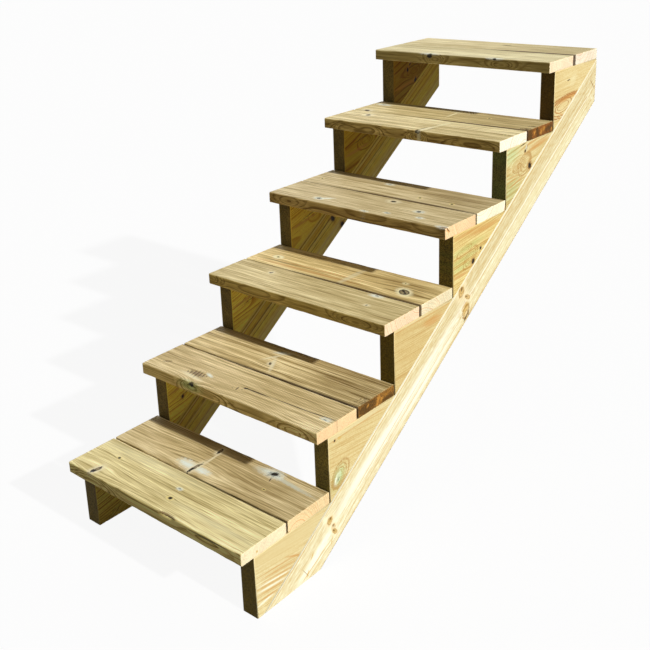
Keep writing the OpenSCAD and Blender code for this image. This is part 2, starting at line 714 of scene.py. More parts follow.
@dataclass(frozen=True)
class Stick:
    """One length of wood as it came from the log: its colours, rings and marks.

    Face, edge and end are its colours on its wide faces, its narrow edges and its butts, and
    away is the colour of every side but the seen edge, where that one is different. Some of
    these colours are painted shade: the edges of the treads' front boards, the front butts of
    the step blocks and the seen faces of the left-hand string are darker and more saturated than
    the wood, and the treads' edges are lighter low down, as painted light bounced from the
    ground.
    The pith is where the middle of the tree lies from the middle of the piece, in
    millimetres across and through it, and ring is the width of a year's growth. Sway is
    how far the rings wander, slant is how far the grain runs out in degrees, figure is
    how bold the grain is, saw is how strongly the saw has marked its wide faces, and
    mottle is how blotched its butts are.
    """

    face: Colour
    end: Colour
    seed: float
    edge: Colour | None = None
    away: Colour | None = None
    pith: tuple[float, float] = (100.0, 0.0)
    ring: float = 8.0
    sway: float = 12.0
    slant: float = 0.0
    figure: float = 1.0
    saw: float = 0.0
    mottle: float = 0.1
    knots: tuple[Knot, ...] = ()
    swirls: tuple[Swirl, ...] = ()
    marks: tuple[Mark, ...] = ()


class TimberMaterial:
    """The material of one stick of timber, wired up from its clear wood outwards."""

    TURNED = (0.6, 0.85)  # how squarely a surface starts and ends to count as one face
    AWAY = (-0.85, -0.6)
    PATCHES = (0.35, 0.6)
    FAINT_RING, FAINT_ARC, FAINT_WEAR = 0.3, 0.6, 0.45  # what the faintest keep
    MEANS = (0.5, 0.2, 0.1)  # how much an average spot has of a feature, a ring and a hair
    PALE_ARC = (1.03, 1.05, 1.06)
    FRESH = (1.25, 1.3, 1.45)  # how much lighter the wood is where an arris is worn
    SAW = {"Scale": 60.0, "Distortion": 1.0, "Detail": 2.0, "Detail Scale": 0.6}
    BLOTCHES = (("Speckle", 0.35, 0.65, 1.0), ("Patch", 0.3, 0.7, 0.7))
    FIBRES, ROUGHNESS = (0.3, 0.7), (0.66, 0.84)
    SHEEN = 0.25
    BUMP = 0.7

    def __init__(
        self, groups: GrainGroups, name: str, kind: Timber, stick: Stick, lay: Lay
    ) -> None:
        """Wires up the whole material.

        Args:
            groups: The shared node groups.
            name: The material's name.
            kind: The finish of this kind of piece.
            stick: The stick's own colours, rings and marks.
            lay: Where the piece's fibres run.
        """
        self.data = bpy.data.materials.new(name)
        self.w = w = Wiring.afresh(self.data)
        self.groups, self.kind, self.stick = groups, kind, stick
        where, turn = w.add("ShaderNodeTexCoord").outputs, Euler(lay.turn)
        feeds = {"Vector": where["Object"], "Rotation": turn, "Location": lay.shift()}
        self.laid = w.add("ShaderNodeMapping", feeds).outputs[0]
        feeds = {"Vector": where["Normal"], "Rotation": turn}
        self.facing = w.add("ShaderNodeMapping", feeds, vector_type="NORMAL").outputs[0]
        square = w.steer("ABSOLUTE", self.facing)
        self.sides = w.add("ShaderNodeSeparateXYZ", {0: square}).outputs
        self.grain = self._grain().outputs
        colour, height = self._wood()
        self.flank = self._on("X", 1.0, 0.0)
        for mark in (*stick.marks, *(mark for knot in stick.knots for mark in knot.marks())):
            colour, height = self._stain(mark, colour, height)
        self._shade(self._worn(colour), height)

    def _on(self, axis: str, low: float = 0.0, high: float = 1.0) -> Socket:
        """Returns high on the faces that an axis points out of, and low on the others."""
        return self.w.ramp(self.sides[axis], *self.TURNED, low, high)

    def _grain(self) -> Node:
        """Wires up the stick's grain, with its rings bent round its knots.

        Returns:
            The grain group's node.
        """
        w, stick, bent = self.w, self.stick, self.laid
        for bend in (*stick.knots, *stick.swirls):
            bent = w.group(self.groups.bend, Place=bent, **bend.bend()).outputs["Place"]
        if stick.slant:
            turn = (0.0, math.radians(stick.slant), 0.0)
            bent = w.add("ShaderNodeMapping", {"Vector": bent, "Rotation": turn}).outputs[0]
        pith = (0.0, stick.pith[0] * MM, stick.pith[1] * MM)
        own = {"Seed": stick.seed, "Sway": stick.sway * MM, "Ring Width": stick.ring * MM}
        draw = self.kind.draw
        return w.group(self.groups.grain, Place=bent, Pith=pith, Draw=draw, **own)

    def _wood(self) -> Coat:
        """Wires up the clear wood, before any knots.

        Returns:
            The wood's colour, and its height in millimetres.
        """
        w, kind, stick, grain = self.w, self.kind, self.stick, self.grain
        strong = w.ramp(grain["Ring"], 0.0, 1.0, self.FAINT_RING, 1.0)
        late = w.sum("MULTIPLY", grain["Late"], strong)
        edge = self._on("Y")
        tint = self._tint(late, edge)
        # For some sticks the edge colour, and the face colour where away is given, are painted
        # shade.
        face = w.blend(edge, stick.face, stick.edge or stick.face)
        if stick.away:
            toward = w.add("ShaderNodeSeparateXYZ", {0: self.facing}).outputs["Y"]
            face = w.blend(w.ramp(toward, *self.AWAY), face, stick.away)
        face = w.steer("MULTIPLY", w.steer("DIVIDE", face, kind.deep), tint)
        clear = w.ramp(grain["Patch"], *self.PATCHES, self.FAINT_ARC, 1.0)
        arcs = w.sum("MULTIPLY", late, clear)
        ringed = w.blend(arcs, self.PALE_ARC, kind.end_late)
        butt = w.blend(1.0, stick.end, ringed, "MULTIPLY")
        for name, start, end, share in self.BLOTCHES:
            blotch = share * stick.mottle
            uneven = w.ramp(grain[name], start, end, 1.0 - blotch, 1.0 + blotch)
            butt = w.steer("SCALE", butt, uneven)
        colour = w.blend(self._on("X"), face, butt)
        height = w.sum("MULTIPLY", w.sum("ADD", late, grain["Fibre"]), kind.relief)
        if stick.saw:
            feeds = {"Vector": self.laid, **self.SAW}
            band = w.add("ShaderNodeTexWave", feeds, bands_direction="X").outputs["Fac"]
            flat = w.sum("MULTIPLY", self._on("Z"), stick.saw)
            twice = w.sum("MULTIPLY", flat, 2.0)
            bite = w.sum("MULTIPLY", w.sum("SUBTRACT", band, 0.5), twice)
            colour = w.steer("SCALE", colour, w.sum("ADD", bite, 1.0))
            height = w.sum("ADD", height, bite)
        return colour, height

    def _tint(
        self, late: Socket, edge: Socket
    ) -> Socket:
        """Wires up how the features of the wood darken it.

        Args:
            late: Where the dark late wood of each ring is.
            edge: One on the narrow edges.

        Returns:
            The colour that the wood's own one is multiplied by, with the deep one in it.
        """
        w, kind, grain, figure = self.w, self.kind, self.grain, self.stick.figure
        worth = {"Streak": kind.streak * figure, "Fibre": kind.fibre}
        worth |= {"Patch": kind.patch, "Speckle": kind.speck}
        rings = w.sum("MULTIPLY_ADD", edge, kind.edge_rings, kind.rings * figure)
        dark = w.sum("MULTIPLY", late, rings)
        dark = w.sum("MULTIPLY_ADD", grain["Hair"], kind.hair * figure, dark)
        for name, steps in worth.items():
            dark = w.sum("MULTIPLY_ADD", grain[name], steps, dark)
        each, ring, hair = self.MEANS
        middle = each * sum(worth.values()) + (ring * kind.rings + hair * kind.hair) * figure
        dark = w.sum("MAXIMUM", w.sum("SUBTRACT", dark, middle - 1.0), 0.0)
        return w.add("ShaderNodeGamma", {"Color": kind.deep, "Gamma": dark}).outputs[0]

    def _stain(
        self, mark: Mark, colour: Socket, height: Socket
    ) -> Coat:
        """Lays one mark over the wood.

        Args:
            mark: The mark.
            colour: The colour so far.
            height: The height so far, in millimetres.

        Returns:
            The new colour and the new height.
        """
        w, stain = self.w, mark.look.value
        mask = w.group(
            self.groups.mark,
            Place=self.laid,
            Wobble=self.grain["Wobble"],
            Fibre=self.grain["Fibre"],
            Middle=mark.spot(),
            Reach=mark.reach(),
            Axis=mark.face.value,
            Turn=math.radians(mark.turn),
            Soft=stain.soft,
            Ragged=stain.ragged,
            Hollow=stain.hollow,
            Streaky=stain.streaky,
        ).outputs["Mask"]
        if mark.face is Face.EDGE and not stain.shade:
            mask = w.sum("MULTIPLY", mask, self.flank)
        way = "MULTIPLY" if stain.shade else "MIX"
        over = stain.colour or self.stick.face
        colour = w.blend(w.sum("MULTIPLY", mask, stain.strength), colour, over, way)
        if stain.relief:
            height = w.sum("MULTIPLY_ADD", mask, stain.relief, height)
        return colour, height

    def _worn(self, colour: Socket) -> Socket:
        """Wears the arrises down to fresh wood.

        Args:
            colour: The colour so far.

        Returns:
            The finished colour.
        """
        w = self.w
        worn = w.add("ShaderNodeAttribute", attribute_name="arris").outputs["Fac"]
        broken = w.ramp(self.grain["Patch"], *self.PATCHES, self.FAINT_WEAR, 1.0)
        bare = w.sum("MULTIPLY", w.sum("MULTIPLY", worn, broken), self.kind.arris)
        fresh = tuple(min(1.0, part * lift) for part, lift in zip(self.stick.face, self.FRESH))
        return w.blend(bare, colour, fresh)

    def _shade(self, colour: Socket, height: Socket) -> None:
        """Wires the colour, roughness and relief into the shader.

        Args:
            colour: The finished colour.
            height: The finished height, in millimetres.
        """
        w = self.w
        feeds = {"Strength": self.BUMP, "Distance": MM, "Height": height}
        bump = w.add("ShaderNodeBump", feeds)
        feeds = {
            "Base Color": colour,
            "Roughness": w.ramp(self.grain["Fibre"], *self.FIBRES, *self.ROUGHNESS),
            "Normal": bump.outputs["Normal"],
            "Specular IOR Level": self.SHEEN,
        }
        w.surface("ShaderNodeOutputMaterial", w.add("ShaderNodeBsdfPrincipled", feeds))


# ---- sawing and shaping


@dataclass(frozen=True)
class Chip:
    """A chip off a board's front top arris, in millimetres from the board's middle."""

    along: float
    length: float
    depth: float


class BoardSaw:
    """Saws boards with one geometry tree: a close mesh box with its edges eased unevenly.

    The waves are how many the noise has to the metre, along, across and through.
    """

    SIDES = (180, 44, 14)
    CROWDING = 1.6  # how much closer the mesh is drawn by the arrises
    EASES = {"Ease": 0.003, "End Ease": 0.001}  # radii, in metres
    STRAYS = {"Wander": 0.0003, "Splinter": 0.001}  # how far surfaces stray inward, in metres
    EASE_WAVES = (16.0, 30.0, 60.0)
    WANDER_WAVES = (5.0, 20.0, 20.0)
    SPLINTER_WAVES = (70.0, 160.0, 160.0)
    UNEVEN = (0.25, 0.75, 0.7, 1.45)  # the noise, and the shares of the ease that it gives
    TORN = (0.56, 0.75)
    SEED_STEP = 5.3  # metres that one step of the seed moves the noise
    BEVEL = 0.41  # how far an eased corner falls back, as a part of its radius

    def __init__(self) -> None:
        """Builds the tree."""
        self.tree = self._tree()

    def _tree(self) -> Tree:
        """Builds the board's geometry tree.

        Returns:
            The tree.
        """
        vectors = {"Size": "Vector", "Middle": "Vector"}
        numbers = {**self.EASES, **self.STRAYS, "Seed": 0.0}
        inputs = {**vectors, **numbers, "Material": "Material"}
        w, given, result = open_group("sawn_board", GEOMETRY, inputs, {"Board": "Geometry"})
        w.tree.is_modifier = True
        counts = {f"Vertices {axis}": sides + 1 for axis, sides in zip("XYZ", self.SIDES)}
        box = w.add("GeometryNodeMeshCube", {"Size": (2.0, 2.0, 2.0), **counts})
        place = w.add("GeometryNodeInputPosition").outputs[0]
        parts = w.add("ShaderNodeSeparateXYZ", {0: place})
        crowded = w.add("ShaderNodeCombineXYZ")
        for part, slot in zip(parts.outputs, crowded.inputs):
            room = w.sum("SUBTRACT", 1.0, w.sum("ABSOLUTE", part), clamp=True)
            pulled = w.sum("SUBTRACT", 1.0, w.sum("POWER", room, self.CROWDING))
            w.feed(slot, w.sum("MULTIPLY", w.sum("SIGN", part), pulled))
        half = w.steer("SCALE", given["Size"], 0.5)
        square = w.steer("MULTIPLY", crowded.outputs[0], half)
        seed = w.sum("MULTIPLY", given["Seed"], self.SEED_STEP)
        shift = w.add("ShaderNodeCombineXYZ", dict.fromkeys(range(3), seed)).outputs[0]
        own = w.steer("ADD", square, shift)
        uneven = w.ramp(w.noise(own, self.EASE_WAVES).outputs[0], *self.UNEVEN)
        rounding = w.sum("MULTIPLY", given["Ease"], uneven)
        feeds = {0: given["End Ease"], 1: rounding, 2: rounding}
        radii = w.add("ShaderNodeCombineXYZ", feeds).outputs[0]
        core = w.steer("SUBTRACT", half, radii)
        inner = w.steer("MAXIMUM", square, w.steer("SCALE", core, -1.0))
        inner = w.steer("MINIMUM", inner, core)
        outward = w.steer("DIVIDE", w.steer("SUBTRACT", square, inner), radii)
        outward = w.steer("NORMALIZE", outward)
        eased = w.steer("ADD", inner, w.steer("MULTIPLY", outward, radii))
        moved = w.steer("LENGTH", w.steer("SUBTRACT", square, eased))
        arris = w.sum("DIVIDE", moved, w.sum("MULTIPLY", rounding, self.BEVEL), clamp=True)
        wander = w.noise(own, self.WANDER_WAVES, 1.0).outputs[0]
        wander = w.sum("MULTIPLY", wander, given["Wander"])
        torn = w.ramp(w.noise(own, self.SPLINTER_WAVES, 3.0).outputs[0], *self.TORN)
        torn = w.sum("MULTIPLY", w.sum("MULTIPLY", torn, given["Splinter"]), arris)
        sunk = w.steer("SCALE", outward, w.sum("MULTIPLY", w.sum("ADD", wander, torn), -1.0))
        final = w.steer("ADD", w.steer("ADD", eased, sunk), given["Middle"])
        feeds = {"Geometry": box.outputs["Mesh"], "Name": "arris", "Value": arris}
        kept = w.add(
            "GeometryNodeStoreNamedAttribute", feeds, data_type="FLOAT", domain="POINT"
        ).outputs[0]
        for kind, more in {
            "GeometryNodeSetPosition": {"Position": final},
            "GeometryNodeSetShadeSmooth": {},
            "GeometryNodeRealizeInstances": {},
            "GeometryNodeSetMaterial": {"Material": given["Material"]},
        }.items():
            kept = w.add(kind, {"Geometry": kept, **more}).outputs[0]
        w.feed(result.inputs["Board"], kept)
        return w.tree

    def saw(
        self,
        name: str,
        size: Vector,
        middle: Vector,
        seed: float,
        material: Material,
    ) -> Thing:
        """Saws one board.

        Args:
            name: The board's name.
            size: Its length, width and thickness in metres.
            middle: Its middle in metres.
            seed: What its uneven edges are drawn from.
            material: Its material.

        Returns:
            The board, as a plain mesh.
        """
        feeds = {"Size": size, "Middle": middle, "Seed": float(seed), "Material": material}
        return grow(name, self.tree, feeds)


def place(name: str, data: bpy.types.ID) -> Thing:
    """Puts a new object in the scene.

    Args:
        name: Its name.
        data: Its mesh, lamp or camera.

    Returns:
        The object.
    """
    thing = bpy.data.objects.new(name, data)
    bpy.context.scene.collection.objects.link(thing)
    return thing


def grow(name: str, tree: Tree, feeds: dict[str, object]) -> Thing:
    """Runs a geometry tree and keeps what it makes as a plain mesh.

    Args:
        name: The new piece's name.
        tree: The geometry tree.
        feeds: The value of each named input that isn't left as it is.

    Returns:
        The new object, at the origin.
    """
    holder = place(name + "_blank", bpy.data.meshes.new(name + "_blank"))
    modifier = holder.modifiers.new("grow", "NODES")
    modifier.node_group = tree
    for item in tree.interface.items_tree:
        if item.item_type == "SOCKET" and item.in_out == "INPUT" and item.name in feeds:
            modifier[item.identifier] = feeds[item.name]
    graph = bpy.context.evaluated_depsgraph_get()
    mesh = bpy.data.meshes.new_from_object(holder.evaluated_get(graph), depsgraph=graph)
    mesh.name = name
    holder.modifiers.remove(modifier)
    bpy.data.objects.remove(holder)
    return place(name, mesh)


EASE_SEGMENTS = 5
CHIP_REACH = 2.2  # how far a chip reaches from the arris, in depths
CHIP_TEETH = 1900.0  # how close the teeth on its floor are, in radians to the metre


def splinter(board: Thing, chips: Sequence[Chip], middle: Vector, size: Vector) -> None:
    """Knocks chips out of a board's front top arris.

    Args:
        board: The board.
        chips: The chips.
        middle: The board's middle in metres.
        size: The board's size in metres.
    """
    corner = Vector((0.0, -size.y / 2, size.z / 2)) + middle
    inward = Vector((0.0, 0.7, -0.7))
    for chip in chips:
        for vertex in board.data.vertices:
            run = (vertex.co.x - middle.x - chip.along * MM) / (chip.length * MM / 2)
            drop = (vertex.co - corner).yz.length / (chip.depth * MM * CHIP_REACH)
            if abs(run) < 1.0 and drop < 1.0:
                bite = (1.0 - run * run) ** 0.5 * (1.0 - drop * drop)
                ragged = 0.75 + 0.25 * math.sin(vertex.co.x * CHIP_TEETH)
                vertex.co += inward * (chip.depth * MM * bite * ragged)


def planed_prism(
    name: str,
    outline: Sequence[tuple[float, float]],
    x: float,
    thickness: float,
    eases: Sequence[float],
    material: Material,
) -> Thing:
    """Cuts a flat piece to a side outline and eases the arrises of its two faces.

    Args:
        name: The piece's name.
        outline: The outline's corners, (y, z) in metres, in order.
        x: The middle of the piece across the flight.
        thickness: The piece's thickness.
        eases: For each side of the outline, from its corner to the next, the arris radius.
        material: The piece's material.

    Returns:
        The piece.
    """
    shape = bmesh.new()
    rings = [
        [shape.verts.new((x + side * thickness / 2, y, z)) for y, z in outline]
        for side in (-1.0, 1.0)
    ]
    shape.faces.new(list(reversed(rings[0])))
    shape.faces.new(rings[1])
    count = len(outline)
    for i in range(count):
        j = (i + 1) % count
        shape.faces.new((rings[0][i], rings[0][j], rings[1][j], rings[1][i]))
    bmesh.ops.recalc_face_normals(shape, faces=shape.faces)
    worn = shape.faces.layers.float.new("arris")
    for radius in sorted(set(eases), reverse=True):
        edges = []
        for ring in rings:
            for i in range(count):
                if eases[i] == radius and ring[i].is_valid and ring[(i + 1) % count].is_valid:
                    edge = shape.edges.get((ring[i], ring[(i + 1) % count]))
                    edges += [edge] if edge else []
        if not edges or radius <= 0.0:
            continue
        how = {"segments": EASE_SEGMENTS, "profile": 0.5, "affect": "EDGES"}
        made = bmesh.ops.bevel(shape, geom=edges, offset=radius, **how)
        for face in made["faces"]:
            face[worn] = 1.0
            face.smooth = True
    mesh = bpy.data.meshes.new(name)
    shape.to_mesh(mesh)
    shape.free()
    mesh.materials.append(material)
    return place(name, mesh)


def hand_over(piece: Thing, node: str) -> None:
    """Puts a finished piece in the place of its CAD node and reports it.

    Args:
        piece: The finished piece.
        node: The CAD node that it stands for.
    """
    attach(piece, BODY)
    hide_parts(node)
    LOG.info("%s: %d faces, stands for %s", piece.name, len(piece.data.polygons), node)


# ---- sub-assemblies


class Board(Enum):
    """The two boards of a tread."""

    FRONT = "front"
    REAR = "rear"


class Side(Enum):
    """The two sides of the flight, as a person climbing it sees them."""

    LEFT = "left"
    RIGHT = "right"


RAIL_DEPTH = 110.0  # millimetres, square to its slope
ALONG_Y = math.radians(-90.0)  # the turn that brings a string's length to x
TREAD_TIMBER = Timber(slot="tread_boards")
BLOCK_TIMBER = Timber(
    slot="step_blocks", deep=(0.58, 0.37, 0.18), rings=0.4, edge_rings=0.0, streak=0.35,
    fibre=0.5, hair=0.2, patch=0.5, speck=0.5, arris=0.8, end_late=(0.78, 0.74, 0.6),
    relief=0.12,
)
RAIL_TIMBER = Timber(
    slot="rails", deep=(0.58, 0.37, 0.17), rings=0.2, edge_rings=0.0, streak=0.4, fibre=0.7,
    hair=0.4, patch=0.45, speck=0.9, draw=0.2, arris=0.8, relief=0.12,
)


@dataclass
class Tread:
    """A tread: two sawn boards side by side, with an open joint between them."""

    number: int
    sticks: dict[Board, Stick]
    chips: tuple[Chip, ...] = ()
    timber: Timber = TREAD_TIMBER

    def build(self, groups: GrainGroups, saw: BoardSaw) -> None:
        """Makes both boards and hands them over.

        Args:
            groups: The shared node groups.
            saw: What saws the boards.
        """
        for which, stick in self.sticks.items():
            node = f"tread_{self.number}_{which.value}_board"
            low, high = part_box(node)
            middle, size = (low + high) / 2, high - low
            name = f"board_{self.number}_{which.value}"
            finish = TimberMaterial(groups, name, self.timber, stick, Lay(tuple(middle)))
            board = saw.saw(name, size, middle, stick.seed, finish.data)
            if which is Board.FRONT:
                splinter(board, self.chips, middle, size)
            hand_over(board, node)


@dataclass
class StepBlock:
    """A triangular step block: plumb front, level top, and the long cut seated on a rail."""

    side: Side
    number: int
    stick: Stick
    pitch: float
    front_ease: float = 2.0
    top_ease: float = 2.0
    timber: Timber = BLOCK_TIMBER

    def build(self, groups: GrainGroups) -> None:
        """Makes the block and hands it over.

        Args:
            groups: The shared node groups.
        """
        node = f"{self.side.value}_block_{self.number}"
        low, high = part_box(node)
        x = (low.x + high.x) / 2
        outline = [(low.y, low.z), (low.y, high.z), (high.y, high.z)]
        eases = [self.front_ease * MM, self.top_ease * MM, 0.0]
        foot = high.y - (high.z - low.z) / math.tan(self.pitch)
        if foot - low.y > MM:
            outline.append((foot, low.z))
            eases.append(0.0)
        name = f"step_{node}"
        lay = Lay((x, low.y, high.z), (0.0, 0.0, ALONG_Y))
        finish = TimberMaterial(groups, name, self.timber, self.stick, lay)
        block = planed_prism(name, outline, x, high.x - low.x, eases, finish.data)
        hand_over(block, node)


@dataclass
class Rail:
    """A sloping rail, cut plumb at its head and level at its foot."""

    side: Side
    stick: Stick
    pitch: float
    ease: float = 4.0
    timber: Timber = RAIL_TIMBER

    def build(self, groups: GrainGroups) -> None:
        """Makes the rail and hands it over.

        Args:
            groups: The shared node groups.
        """
        node = f"{self.side.value}_rail"
        low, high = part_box(node)
        x = (low.x + high.x) / 2
        slope = math.tan(self.pitch)
        head_low = high.z - RAIL_DEPTH * MM / math.cos(self.pitch)
        outline = [
            (low.y, low.z),
            (high.y, high.z),
            (high.y, head_low),
            (high.y - (head_low - low.z) / slope, low.z),
        ]
        eases = [self.ease * MM, 0.0, self.ease * MM, 0.0]
        name = f"sloping_{node}"
        lay = Lay((x, high.y, high.z), (-self.pitch, 0.0, ALONG_Y))
        finish = TimberMaterial(groups, name, self.timber, self.stick, lay)
        rail = planed_prism(name, outline, x, high.x - low.x, eases, finish.data)
        hand_over(rail, node)


# ---- the wood


# A mark in the tables: its look, along, across, half length, half width, and turn if any.
Row = tuple[Look | float, ...]

# Where a tread board's top, front edge and right-hand butt lie, from its middle.
LEVELS = {Face.FLAT: 15.5, Face.EDGE: -73.0, Face.BUTT: 300.0}


def through(*rows: Row) -> tuple[Mark, ...]:
    """Returns marks that go right through a tread board, seen on its top."""
    return tuple(Mark(*row) for row in rows)


def on_edge(*rows: Row) -> tuple[Mark, ...]:
    """Returns marks that go right through a block or a rail, seen on its side."""
    return tuple(Mark(*row, face=Face.EDGE) for row in rows)


def on_skin(face: Face, depth: float, *rows: Row) -> tuple[Mark, ...]:
    """Returns marks that go only so deep into one face of a tread board.

    Args:
        face: The face.
        depth: How deep they go.
        *rows: The marks.

    Returns:
        The marks.
    """
    skin = {"face": face, "level": LEVELS[face], "depth": depth}
    return tuple(Mark(*row, **skin) for row in rows)


on_top, on_front, on_butt = (partial(on_skin, face) for face in Face)


def loops(first: Sequence[float], growth: Sequence[float], *steps: float) -> tuple[Mark, ...]:
    """Returns growth rings that show as loops, one inside another.

    Args:
        first: The first loop's place, half length, half width and turn.
        growth: How much each of these grows with one step.
        *steps: How many steps each loop has grown.

    Returns:
        The marks.
    """
    grown = ((at + more * step for at, more in zip(first, growth)) for step in steps)
    return on_edge(*((Look.LOOP, *row) for row in grown))


def butt_flecks(*spots: tuple[float, float, float]) -> tuple[Mark, ...]:
    """Returns flecks on a board's right-hand butt, from their places and sizes."""
    return on_butt(30, *((Look.FLECK, *at, size, size * 0.7, 60) for *at, size in spots))


def torn_grain(along: float, across: float, size: float, dashes: int) -> tuple[Mark, ...]:
    """Returns the row of short dashes that a saw leaves where it tears the grain by a knot.

    Args:
        along: The middle of the patch along the board.
        across: The middle of the patch across the board.
        size: Half the patch's length.
        dashes: How many dashes there are.

    Returns:
        The marks.
    """
    steps = [2 * i / (dashes - 1) - 1 for i in range(dashes)]
    spots = ((along + size * step, across + 4 * step, 1.2 - abs(step)) for step in steps)
    return through(*((Look.DASH, *at, size * 0.5 * long, 1.8, 104) for *at, long in spots))


def edge_knots(kind: KnotKind, *spots: Sequence[float]) -> tuple[Knot, ...]:
    """Returns knots of one kind that show on the side of a block or rail."""
    return tuple(Knot(kind, *spot, face=Face.EDGE) for spot in spots)


def pin(along: float, across: float, size: float = 3.5) -> Knot:
    """Returns a pin knot of a tread board."""
    return Knot(KnotKind.PIN, along, across, size, size * 0.8)


def bloomed(along: float, across: float, size: float = 5.0) -> Knot:
    """Returns a small knot of a tread board with salts bloomed round it."""
    return Knot(KnotKind.BLOOMED, along, across, size, size * 0.8, 20.0)


def flame(along: float, level: float, length: float, width: float, lift: float) -> Swirl:
    """Returns a bulge of the rings that shows on a board's front edge and stays near it."""
    return Swirl(along, level, length, width, lift, Face.EDGE, LEVELS[Face.EDGE], 16.0)


# Painted shade: darkens the right-hand end of a rear board, its top and its butt.
PAINTED_SHADE_END = Mark(Look.DAMP, 205, 10, 120, 90)
# Painted shadow: deepens the shadow that the next tread casts along the back of a rear board's
# top, on its left part.
PAINTED_SHADE_BACK = Mark(Look.DAMP, -130, 73, 250, 44)
JOINT = Mark(Look.DIRT, 0, 73, 420, 2.6)
